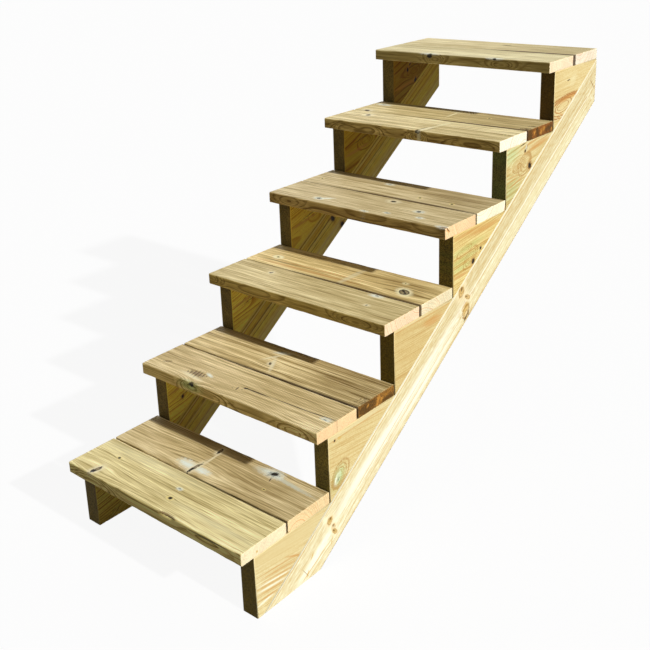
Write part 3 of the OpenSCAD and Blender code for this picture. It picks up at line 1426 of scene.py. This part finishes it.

# Each front board's fourth colour, on its edges, is painted shade and painted bounced light:
# darker and more saturated than its faces, and lighter on the lower treads, where light bounces
# up from the ground.
TREADS = {
    (1, Board.FRONT): Stick(
        tone(233, 215, 153), tone(243, 226, 186), 1, tone(252, 228, 142), pith=(84, -60),
        ring=4.5, figure=0.72, saw=0.1,
        knots=(
            Knot(KnotKind.SPIKE, -215, -54, 16, 4.6, 82, Face.FLAT, 15.5, 8),
            pin(-211, 17),
            pin(23, -23, 4.6),
        ),
        swirls=(flame(-200, -4, 70, 18, 12), flame(205, 6, 90, 12, 10)),
        marks=(
            *through(
                (Look.LIGHT, -110, 52, 190, 17, 1), (Look.BLOOM, 12, 17, 9, 6),
                (Look.SPECK, 12, 17, 5, 2.5), (Look.LIGHT, 160, -30, 120, 9, -1),
            ),
            *on_front(7, (Look.HEART, 62, 13.5, 28, 3.2, 1.5)),
            *on_front(4, (Look.CRACK, 70, 11.5, 22, 1.1, 2)),
            *on_front(3, (Look.CRACK, 205, 9, 62, 1.6, 1)),
            *on_butt(20, (Look.GOLD, -24, -4, 3, 3)),
            *through((Look.DIRT, 190, 73, 190, 3)),
        ),
    ),
    (1, Board.REAR): Stick(
        tone(214, 191, 137), tone(250, 222, 170), 2, pith=(-40, -34), ring=7, figure=0.95,
        saw=0.1,
        knots=(
            Knot(KnotKind.SPIKE, -27, -48, 23, 3.6, 88),
            Knot(KnotKind.SPIKE, -30, 43, 11, 3.5, 97),
            bloomed(148, 50, 8),
            pin(172, -13, 2.2),
        ),
        marks=(
            *through(
                (Look.HALO, -22, 8, 26, 3, 94), (Look.BLOOM, -52, -46, 31, 15, -8),
                (Look.BLOOM, -2, -46, 26, 10), (Look.BLOOM, 132, 47, 36, 13),
                (Look.BLOOM, 196, 41, 74, 6, -5), (Look.CRACK, 156, 27, 8, 1.5, 110),
                (Look.CRACK, 140, 40, 7, 1.5, 60),
            ),
            PAINTED_SHADE_END, PAINTED_SHADE_BACK,
        ),
    ),
    (2, Board.FRONT): Stick(
        tone(217, 193, 138), tone(244, 207, 156), 3, tone(236, 206, 132), pith=(78, -40),
        ring=4.5, figure=0.8, saw=0.22,
        swirls=(
            flame(-112, 4, 40, 17, 26),
            flame(-35, 0, 56, 22, 15),
            flame(225, -2, 55, 20, 15),
        ),
        marks=(
            *through((Look.HALO, -138, -46, 34, 6, -6), (Look.TORN, -135, -29, 25, 9, -6)),
            *torn_grain(-135, -29, 30, 7),
            *through((Look.TORN, -252, -25, 10, 4, 30)),
            *torn_grain(4, -26, 13, 3),
            *through(
                (Look.BLOOM, -103, -16, 13, 5, -20), (Look.PITH, 21, -12, 6, 3.4, 20),
                (Look.CRACK, 56, -11, 40, 2.6, 0.5), (Look.CRACK, 180, -8, 66, 1.7, 1),
                (Look.CRACK, 262, -4, 38, 1.5, 4), (Look.BLOOM, 277, -12, 15, 7),
                (Look.SPECK, 275, -14, 6, 2),
            ),
            *on_front(9, (Look.COPPER, -118, 4, 36, 12), (Look.PITH, -112, 10, 9, 6)),
            *through((Look.DIRT, 60, 73, 330, 2.2)),
        ),
    ),
    (2, Board.REAR): Stick(
        tone(216, 191, 133), tone(156, 110, 42), 4, mottle=0.6, pith=(120, -30), figure=1.45,
        saw=0.12,
        knots=(Knot(KnotKind.SPIKE, -24, -24, 7, 3, 110),),
        marks=(
            *through(
                (Look.BLOOM, -36, 42, 26, 7, 20), (Look.HALO, -15, -25, 34, 5, 120),
                (Look.HALO, -45, 5, 24, 4, 60), (Look.DIRT, 240, -72.5, 380, 3),
                # painted shade on the right of the board's top
                (Look.DAMP, 250, -10, 120, 70),
            ),
            *on_butt(30, (Look.HEARTWOOD, -42, 0, 34, 15), (Look.HEARTWOOD, 44, -8, 30, 6)),
            *butt_flecks((8, 5, 8), (20, -3, 6), (4, -8, 6), (-34, 3, 4)),
            PAINTED_SHADE_END, PAINTED_SHADE_BACK,
        ),
    ),
    (3, Board.FRONT): Stick(
        tone(212, 191, 135), tone(238, 211, 173), 5, tone(204, 174, 92), pith=(70, 34),
        ring=4.5, figure=0.75, saw=0.05,
        knots=(Knot(KnotKind.SPIKE, -161, 33, 6, 3.5, 60),),
        swirls=(
            flame(-290, 0, 40, 22, 20),
            flame(-120, -4, 110, 20, 9),
            flame(212, -2, 72, 18, 22),
        ),
        marks=(
            *through(
                (Look.BLOOM, 175, 63, 19, 9), (Look.SPECK, 176, 65, 6, 2.5),
                (Look.HALO, 190, 1, 9, 6), (Look.CRACK, 190, 1, 4, 2, 60),
            ),
            *on_butt(20, (Look.GOLD, 8, 6, 2.5, 2)),
            JOINT,
        ),
    ),
    (3, Board.REAR): Stick(
        tone(231, 204, 138), tone(247, 234, 196), 6, pith=(-60, -50), ring=7, figure=1.3,
        knots=(
            pin(-229, -13, 3.2),
            Knot(KnotKind.SOUND, 217, -25, 17.5, 12, -39),
            pin(186, 26, 2),
        ),
        marks=(
            *through(
                (Look.CREAM, -229, -13, 17, 13), (Look.CREAM, 186, 26, 10, 8),
                (Look.BAND, -100, -52, 190, 6, 1), (Look.BAND, -40, -28, 150, 4, 1),
                (Look.STICKER, 38, -15, 62, 9, 90), (Look.DIRT, 250, -72.5, 360, 4.4),
            ),
            PAINTED_SHADE_END, PAINTED_SHADE_BACK,
        ),
    ),
    (4, Board.FRONT): Stick(
        tone(211, 190, 140), tone(243, 206, 158), 7, tone(196, 164, 94), pith=(80, 44),
        ring=4.5, figure=0.75, saw=0.04,
        knots=(Knot(KnotKind.LOOSE, 55, 47, 7, 5), bloomed(166, 8), bloomed(-139, -41)),
        swirls=(
            flame(-225, -2, 55, 20, 22),
            flame(60, -4, 110, 20, 9),
            flame(250, 0, 60, 20, 10),
        ),
        marks=(
            *through(
                (Look.BLOOM, 40, -66, 13, 5), (Look.SPECK, 40, -66, 5, 2.5),
                (Look.BLOOM, 100, -47, 11, 6), (Look.SPECK, 102, -47, 7, 3),
                (Look.BLOOM, 197, -35, 12, 7), (Look.SPECK, 197, -35, 5, 3),
            ),
            *on_top(5, (Look.BLOOM, 286, -66, 17, 8), (Look.SPECK, 290, -68, 10, 4)),
            *through((Look.BLOOM, -120, -30, 20, 6, 30)),
            *on_butt(20, (Look.FLECK, -62, 8, 9, 4, -50), (Look.CRACK, -60, 9, 9, 1.3, -50)),
            JOINT,
        ),
    ),
    (4, Board.REAR): Stick(
        tone(212, 191, 141), tone(253, 246, 214), 8, pith=(-50, 50), ring=8, figure=0.85,
        knots=(pin(96, -35, 3), pin(201, -38, 3.5), pin(-263, -25, 2.8)),
        marks=(
            *through(
                (Look.BLOOM, -54, 30, 15, 8), (Look.SPECK, -54, 31, 5, 3),
                # the second mark is painted shade on the right of the board's top
                (Look.DIRT, 80, -72, 220, 3.4), (Look.DAMP, 190, 20, 90, 80),
            ),
            PAINTED_SHADE_BACK,
        ),
    ),
    (5, Board.FRONT): Stick(
        tone(228, 208, 152), tone(250, 242, 218), 9, tone(198, 168, 94), pith=(60, -40), ring=5,
        figure=1.1, saw=0.04,
        knots=(Knot(KnotKind.LOOSE, -209, 27, 6, 6), pin(274, 1, 2.8)),
        swirls=(
            flame(-215, -4, 50, 22, 18),
            flame(-130, 0, 46, 20, 16),
            flame(34, -2, 27, 15, 28),
            flame(215, 0, 80, 20, 14),
        ),
        marks=(
            *through(
                (Look.CREAM, 48, -42, 38, 8, 80), (Look.CREAM, 61, 28, 38, 5, 80),
                (Look.DASH, 36, -50, 18, 2, 76), (Look.DASH, 60, -34, 16, 1.6, 80),
            ),
            *on_front(10, (Look.PITH, 38, 12, 8, 6)),
            *through((Look.LIGHT, 110, 55, 60, 4)),
            *on_top(8, (Look.HALO, 46, -46, 32, 5, 78)),
            JOINT,
        ),
    ),
    (5, Board.REAR): Stick(
        tone(209, 187, 129), tone(138, 86, 28), 10, mottle=0.5, pith=(-80, -50), figure=1.2,
        knots=(Knot(KnotKind.LOOSE, -254, -68, 7, 5), pin(129, 13, 3)),
        marks=(
            *through(
                (Look.BLOOM, -258, 26, 24, 10), (Look.SPECK, -258, 26, 9, 4),
                (Look.CREAM, 9, 20, 50, 3.5, 92),
            ),
            *on_butt(
                30, (Look.HEARTWOOD, -60, 0, 14, 24), (Look.HEARTWOOD, -18, 2, 7, 20, 15),
                (Look.HEARTWOOD, 50, 0, 26, 8),
            ),
            *butt_flecks((4, -2, 8), (20, 4, 6), (-34, 2, 6), (64, -6, 5)),
            *through((Look.DIRT, 230, -72, 230, 4.4)),
            PAINTED_SHADE_END, PAINTED_SHADE_BACK,
        ),
    ),
    (6, Board.FRONT): Stick(
        tone(230, 216, 166), tone(243, 220, 184), 11, tone(190, 168, 102), pith=(70, 40),
        ring=4.5, figure=0.6,
        swirls=(flame(-78, -4, 38, 20, 22), flame(150, -4, 52, 18, 22)),
        marks=(
            *on_top(5, (Look.BLOOM, -97, -70, 30, 8), (Look.BLOOM, 125, -70, 26, 7)),
            *on_front(8, (Look.PITH, -97, 9, 9, 6.5)),
            *on_front(6, (Look.PITH, 125, 13.5, 6, 3.5)),
            *through((Look.DIRT, 190, 71.5, 240, 4.5)),
        ),
    ),
    (6, Board.REAR): Stick(
        tone(228, 211, 160), tone(252, 240, 216), 12, pith=(-40, 50), ring=9, figure=0.7,
        marks=(
            *through((Look.CRACK, 29, 19, 14, 4, 8), (Look.DIRT, 230, -71, 200, 6)),
            PAINTED_SHADE_END,
        ),
    ),
}
CHIPS = {
    1: (Chip(64, 50, 4),),
    2: (Chip(-112, 15, 3),),
    5: (Chip(38, 16, 3),),
    6: (Chip(-97, 14, 2.5),),
}

# Each block's second colour, on its front butt, is painted shade: far darker than the sunlit
# butts of the treads' boards, as the front stands in shade under the nosing.
RIGHT_BLOCKS = {
    1: Stick(
        tone(217, 196, 140), tone(110, 90, 26), 21, pith=(60, -330), ring=6.5, slant=-7,
        mottle=0.3,
        swirls=(Swirl(70, -150, 60, 14, 10),),
        marks=on_edge(
            (Look.CLEAR, 100, -14, 190, 34, -6), (Look.BAND, 132, -70, 32, 2.4, -24),
            (Look.BAND, 75, -62, 64, 1.6, -5), (Look.BAND, 72, -73, 60, 1.8, -8),
            (Look.BAND, 66, -83, 56, 2, -9), (Look.BAND, 60, -94, 52, 2.2, -8),
            (Look.BAND, 50, -107, 42, 2, -8), (Look.BAND, 38, -119, 30, 1.8, -4),
            (Look.PALE, 62, -88.5, 46, 1.8, -8), (Look.PALE, 50, -100, 40, 2.2, -8),
            (Look.PALE, 26, -126, 22, 2.6, 4),
        ),
    ),
    2: Stick(
        tone(214, 191, 132), tone(122, 106, 48), 22, pith=(60, -400), ring=6, slant=-6,
        figure=0.8, mottle=0.4,
        knots=edge_knots(KnotKind.DEAD, (22, -16, 2.6, 2)),
        swirls=(Swirl(34, -108, 40, 26, -16, Face.FLAT),),
        marks=(
            *on_edge(
                # the first mark is a painted highlight: the lit rounding of the block's top
                # arris
                (Look.LIGHT, 110, -6, 200, 7), (Look.BAND, 118, -14.5, 120, 1.2),
                (Look.GOLD, 40, -17, 8, 3), (Look.GREEN, 31, -118, 30, 20, 52),
                (Look.GREEN, 31, -118, 22, 15, 52),
            ),
            *loops((31, -118, 20, 13, 52), (0.4, 0.3, 1, 0.7, -0.3), 0, 6, 13, 21),
            *on_edge(
                (Look.PALE, 28, -119, 14, 7, 58), (Look.MOSS, 29, -119, 12, 5.5, 58),
                (Look.PALE, 22, -121, 8, 1.6, 60), (Look.SPECK, 32, -122, 6, 2, 50),
            ),
        ),
    ),
    3: Stick(
        tone(208, 182, 121), tone(100, 82, 22), 23, pith=(40, -340), ring=3.4, slant=-1,
        mottle=0.3,
        swirls=(Swirl(85, -74, 40, 12, -6, Face.FLAT),),
        marks=on_edge(
            # the first mark is a painted highlight: the lit rounding of the block's top arris
            (Look.LIGHT, 110, -2.5, 200, 3), (Look.BAND, 110, -7, 200, 1.2),
            (Look.BAND, 165, -28, 40, 10),
        ),
    ),
    4: Stick(
        tone(213, 184, 113), tone(112, 96, 36), 24, pith=(60, -300), ring=5, slant=5,
        figure=1.8, mottle=0.45,
        knots=edge_knots(KnotKind.DEAD, (132, -70, 4, 3.5, 20), (96, -96, 6, 6, 40)),
        swirls=(
            Swirl(80, -76, 26, 14, -12, Face.FLAT),
            Swirl(40, -56, 20, 10, 7, Face.FLAT),
            Swirl(46, -100, 20, 10, -6, Face.FLAT),
        ),
        marks=(
            *on_edge(
                (Look.GREEN, 62, -50, 70, 8, 5), (Look.GREEN, 55, -76, 66, 7, 5),
                (Look.GREEN, 45, -97, 50, 7, 4), (Look.BAND, 60, -10, 90, 5, 2),
                (Look.BAND, 150, -18, 70, 7, 2), (Look.BAND, 34, -118, 34, 5),
            ),
            *loops((82, -82, 12, 5, 34), (0, 0, 1, 0.5, 0), 0, 9, 19, 30),
            *loops((52, -56, 12, 3.5, 12), (0, 0, 1, 0.35, 0), 0, 12, 26),
        ),
    ),
    5: Stick(
        tone(211, 189, 130), tone(104, 98, 50), 25, pith=(90, -62), ring=5, slant=10,
        figure=1.5, mottle=0.4,
        knots=edge_knots(KnotKind.DEAD, (99, -24, 2.6, 4, -20), (127, -71, 6.5, 8, 30)),
        swirls=(Swirl(68, -60, 26, 16, 36),),
        marks=(
            *on_edge(
                (Look.GREEN, 22, -20, 40, 22, 12), (Look.GREEN, 20, -118, 44, 30, 10),
                (Look.BAND, 175, -18, 60, 8, 8), (Look.BAND, 120, -8, 50, 3, 8),
                (Look.CRACK, 88, -3, 15, 1.5, 9), (Look.MOSS, 101, -18, 9, 6, 60),
                (Look.PALE, 105, -16, 8, 3.5, 60), (Look.CRACK, 108, -15, 7, 1.2, 70),
                (Look.CRACK, 127, -71, 15, 1.2, 12), (Look.CRACK, 127, -71, 15, 1.2, 48),
                (Look.CRACK, 127, -71, 15, 1.2, 95), (Look.CRACK, 127, -71, 15, 1.2, 140),
            ),
            *loops((112, -52, 14, 10, 30), (-0.5, -0.3, 1, 0.7, 0), 0, 8, 17, 27),
            *loops((60, -66, 0, 0, 8), (0, 0, 1, 0.45, 0), 9, 17, 26),
            *on_edge(
                (Look.BAND, 32, -84, 30, 2.2, 3), (Look.BAND, 30, -93, 30, 2.2, 8),
                (Look.BAND, 50, -104, 46, 2.4, 14),
            ),
        ),
    ),
    6: Stick(
        tone(219, 196, 137), tone(84, 62, 12), 26, pith=(60, -360), ring=9, slant=2, figure=0.5,
        mottle=0.3,
        marks=on_edge(
            (Look.BAND, 92, -83, 80, 6, 3), (Look.BAND, 100, -86, 100, 5, 6),
            (Look.FLAME, 80, -108, 125, 32, 4), (Look.FLAME, 74, -107, 95, 26, 5),
            (Look.FLAME, 56, -105, 52, 18, 10), (Look.FLAME, 54, -106, 36, 10, 10),
            (Look.BAND, 36, -126, 34, 2.4, -18), (Look.BAND, 30, -137, 28, 2, -18),
            (Look.CRACK, 83, -36.5, 8, 1.6, 8), (Look.LIGHT, 112, -40, 18, 12, 30),
        ),
    ),
}
# The seen inner faces of the left-hand step blocks, one colour for each block: painted shade,
# darker and more saturated than the wood's own colour (away), and darker again on the upper
# blocks. The blocks' front butt colour below is painted shade as well.
LEFT_SHADED_FACES = (
    tone(222, 190, 84), tone(240, 208, 84), tone(242, 210, 86),
    tone(232, 198, 76), tone(190, 154, 46), tone(152, 114, 32),
)
LEFT_KNOTS = {
    2: ((52, -92, 5, 3.5, 60),),
    4: ((140, -30, 5, 3.5, 20),),
    6: ((75, -46, 6, 4.2, 90), (88, -30, 4, 2.8, 40), (119, -85, 8, 5.6, 70)),
}
LEFT_BLOCKS = {
    number: Stick(
        face, tone(112, 94, 44), 30 + number, away=tone(214, 190, 132),
        pith=(80, -230 + 26 * number), ring=5.5, slant=8 + 2 * number, figure=2.3, mottle=0.35,
        knots=edge_knots(KnotKind.DEAD, *LEFT_KNOTS.get(number, ())),
        swirls=(
            Swirl(60 + 9 * number, -60, 34, 20, 14),
            Swirl(120 - 9 * number, -110, 30, 16, -10, Face.FLAT),
        ),
        marks=on_edge(
            (Look.BAND, 60, -40 - 9 * number, 60, 5, 10),
            (Look.TORN, 90, -96 + 9 * number, 44, 1.6, 14),
        ),
    )
    for number, face in enumerate(LEFT_SHADED_FACES, 1)
}
RAILS = {
    Side.RIGHT: Stick(
        tone(228, 214, 169), tone(235, 215, 170), 41, pith=(-70, -340), ring=9,
        knots=edge_knots(
            KnotKind.GOLDEN, (-1583, -36, 9, 7, 30), (-1585, -63, 8, 6, 60),
            (-1589, -76, 9, 5, 100), (-897, -18, 14, 11, 40), (-884, -54, 11, 5, 120),
        ),
        swirls=(Swirl(-60, -95, 40, 40, 20), Swirl(-905, -70, 40, 30, 14)),
        marks=on_edge(
            (Look.TANNED, -380, -55, 640, 110), (Look.TANNED, -800, -30, 1000, 22),
            (Look.PALE, -930, -3, 1000, 3.5), (Look.GOLD, -930, -9, 1000, 0.9),
            (Look.PALE, -520, -60, 500, 2.2, -0.3), (Look.GOLD, -560, -65, 460, 0.8, -0.3),
            (Look.LIGHT, -560, -86, 400, 12), (Look.PALE, -1190, -60, 240, 15),
            (Look.PALE, -1420, -46, 130, 12), (Look.PALE, -1130, -86, 160, 7),
            (Look.PALE, -1660, -64, 70, 12), (Look.GOLD, -1330, -64, 230, 0.9, 0.4),
            (Look.GOLD, -1250, -78, 300, 0.9, -0.3), (Look.GOLD, -1678, -74, 62, 1.6, -6),
            (Look.GOLD, -1609, -86, 12, 1.6, 42), (Look.GOLD, -930, -104.5, 1000, 0.9),
            (Look.HALO, -1590, -18, 7, 9, 20), (Look.GOLD, -908, -76, 20, 15, 30),
            (Look.RING, -912, -84, 22, 15, 24), (Look.RING, -916, -90, 13, 8, 24),
            (Look.CRACK, -922, -98, 12, 2.4, 10), (Look.CRACK, -905, -96, 9, 1.6, 60),
            (Look.BAND, -893, -34, 18, 3, 70), (Look.LINE, -878, -60, 5, 3.5),
            (Look.LINE, -895, -6, 9, 1.8, -40), (Look.GOLD, -1671, -48, 9, 2, 24),
            (Look.GOLD, -1706, -70, 9, 2, 30), (Look.LINE, -1709, -60, 18, 0.9, 92),
            (Look.LINE, -57, -50, 22, 2.2, 102), (Look.LINE, -56, -88, 15, 1.8),
            (Look.LOOP, -46, -84, 16, 9, 60), (Look.LINE, -36, -84, 4, 2.5, 60),
        ),
    ),
    # The left rail's face colour, on its seen inner side, is painted shade; away is the wood's
    # own colour.
    Side.LEFT: Stick(
        tone(222, 192, 84), tone(235, 215, 170), 42, away=tone(224, 204, 150), pith=(90, -60),
        ring=6, figure=1.8,
        knots=edge_knots(KnotKind.DEAD, (-735, -50, 7, 9), (-713, -100, 7, 8)),
        marks=on_edge(
            (Look.LIGHT, -900, -3, 900, 2), (Look.TORN, -900, -9, 900, 1.3),
            (Look.LIGHT, -900, -15, 900, 1.8), (Look.TORN, -900, -40, 700, 2.6),
            (Look.LIGHT, -900, -47, 800, 2.4), (Look.TORN, -900, -56, 700, 1.3),
            (Look.LIGHT, -900, -90, 900, 14),
        ),
    ),
}


# ---- the studio


WHITE = (1.0, 1.0, 1.0)


@dataclass
class Studio:
    """A plain pale floor, the lamps and the camera."""

    floor_level: float
    floor_reach: float = 60.0
    key_strength: float = 3.9
    key_from: Point = (0.859, -0.008, 0.511)
    key_spread: float = 1.7
    back_strength: float = 1.6
    back_from: Point = (-0.78, 0.62, 0.06)
    back_spread: float = 25.0
    room: float = 0.125
    room_tint: Colour = (1.0, 0.97, 0.92)
    floor_bounce: Colour = (0.2, 0.19, 0.17)
    floor_paint: Colour = (0.9, 0.9, 0.9)
    shadow: float = 0.08
    camera_at: Point = (1.578, -2.807, 0.465)
    camera_turn: Point = (71.79, 2.58, 41.71)
    lens: float = 54.4
    sensor: float = 36.0
    shift: tuple[float, float] = (0.063, -0.1505)

    def build(self) -> None:
        """Makes the floor, the lamps, the room's light and the camera."""
        self._floor()
        key = self._lamp("key_lamp", self.key_strength, self.key_from, self.key_spread)
        self._flag(key)
        self._lamp("back_lamp", self.back_strength, self.back_from, self.back_spread)
        self._room()
        self._camera()
        scene = bpy.context.scene
        scene.view_settings.view_transform = "Standard"
        LOG.info("studio: floor at %.4f m, two lamps, camera", self.floor_level)

    def _floor(self) -> None:
        """Lays the floor under the flight's feet."""
        reach, level = self.floor_reach, self.floor_level
        mesh = bpy.data.meshes.new("studio_floor")
        corners = [(-reach, -reach), (reach, -reach), (reach, reach), (-reach, reach)]
        mesh.from_pydata([(x, y, level) for x, y in corners], [], [(0, 1, 2, 3)])
        mesh.materials.append(self._floor_finish())
        floor = place("studio_floor", mesh)

    @staticmethod
    def _seen(w: Wiring) -> Socket:
        """Tells light that is looked at from light that only bounces.

        Args:
            w: The wiring of the floor or of the room.

        Returns:
            The socket, one where the camera, a reflection or a clear piece looks.
        """
        path = w.add("ShaderNodeLightPath")
        seen = w.sum("MAXIMUM", path.outputs["Is Camera Ray"], path.outputs["Is Glossy Ray"])
        return w.sum("MAXIMUM", seen, path.outputs["Is Transmission Ray"])

    @staticmethod
    def _mix(w: Wiring, amount: Value, *shaders: Node) -> Node:
        """Adds a node that mixes two shaders, the second by the amount."""
        under, over = (shader.outputs[0] for shader in shaders)
        return w.add("ShaderNodeMixShader", {0: amount, 1: under, 2: over})

    def _floor_finish(self) -> Material:
        """Builds the floor's paint: white to look at, with the flight's shadow kept on it.

        Returns:
            The material.
        """
        material = bpy.data.materials.new("studio_floor")
        w = Wiring.afresh(material)
        bounced = w.add("ShaderNodeBsdfDiffuse", {"Color": self.floor_bounce})
        shaded = w.add("ShaderNodeBsdfDiffuse", {"Color": self.floor_paint})
        white = w.add("ShaderNodeEmission", {"Color": WHITE, "Strength": 1.0})
        shown = self._mix(w, self.shadow, white, shaded)
        w.surface("ShaderNodeOutputMaterial", self._mix(w, self._seen(w), bounced, shown))
        return material

    @staticmethod
    def _lamp(name: str, strength: float, source: Point, spread: float) -> Thing:
        """Hangs one far-off lamp.

        Args:
            name: The lamp's name.
            strength: Its strength.
            source: The direction that its light comes from.
            spread: How wide it looks from the flight, in degrees.

        Returns:
            The lamp.
        """
        data = bpy.data.lights.new(name, "SUN")
        data.energy = strength
        data.angle = math.radians(spread)
        lamp = place(name, data)
        lamp.rotation_euler = Vector(source).to_track_quat("Z", "Y").to_euler()
        return lamp

    @staticmethod
    def _flag(lamp: Thing) -> None:
        """Keeps a lamp off the far string, which the treads shade, so that no light leaks.

        Args:
            lamp: The lamp.
        """
        shaded = bpy.data.collections.new("far_string")
        for piece in bpy.context.scene.objects:
            if piece.type == "MESH" and "_left_" in piece.name:
                shaded.objects.link(piece)
        lamp.light_linking.receiver_collection = shaded
        for item in shaded.collection_objects:
            item.light_linking.link_state = "EXCLUDE"

    def _room(self) -> None:
        """Lights the flight faintly from all round, and shows white beyond the floor."""
        world = bpy.data.worlds.new("studio_room")
        bpy.context.scene.world = world
        w = Wiring.afresh(world)
        dim = w.add("ShaderNodeBackground", {"Color": self.room_tint, "Strength": self.room})
        white = w.add("ShaderNodeBackground", {"Color": WHITE, "Strength": 1.0})
        w.surface("ShaderNodeOutputWorld", self._mix(w, self._seen(w), dim, white))

    def _camera(self) -> None:
        """Sets up the camera."""
        data = bpy.data.cameras.new("studio_camera")
        data.lens = self.lens
        data.sensor_width = self.sensor
        data.shift_x, data.shift_y = self.shift
        data.clip_end = 200.0
        camera = place("studio_camera", data)
        camera.location = self.camera_at
        camera.rotation_euler = [math.radians(turn) for turn in self.camera_turn]
        bpy.context.scene.camera = camera


# ---- build


def flight_pitch() -> float:
    """Returns the slope of the rails in radians, from the step blocks' places."""
    (lower, lower_top), (upper, upper_top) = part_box("right_block_5"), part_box("right_block_6")
    return math.atan2(upper_top.z - lower_top.z, upper.y - lower.y)


def main() -> None:
    """Builds the flight from the ground up, then the studio round it."""
    logging.basicConfig(level=logging.INFO, format="%(name)s: %(message)s")
    groups, saw, pitch = GrainGroups(), BoardSaw(), flight_pitch()
    for side, stick in RAILS.items():
        Rail(side, stick, pitch).build(groups)
    for side, blocks in ((Side.LEFT, LEFT_BLOCKS), (Side.RIGHT, RIGHT_BLOCKS)):
        for number, stick in blocks.items():
            StepBlock(side, number, stick, pitch).build(groups)
    for number in range(1, STEPS + 1):
        sticks = {board: TREADS[number, board] for board in Board}
        Tread(number, sticks, CHIPS.get(number, ())).build(groups, saw)
    Studio(floor_level=CAD_BOX[0].z).build()


if __name__ == "__main__":
    main()
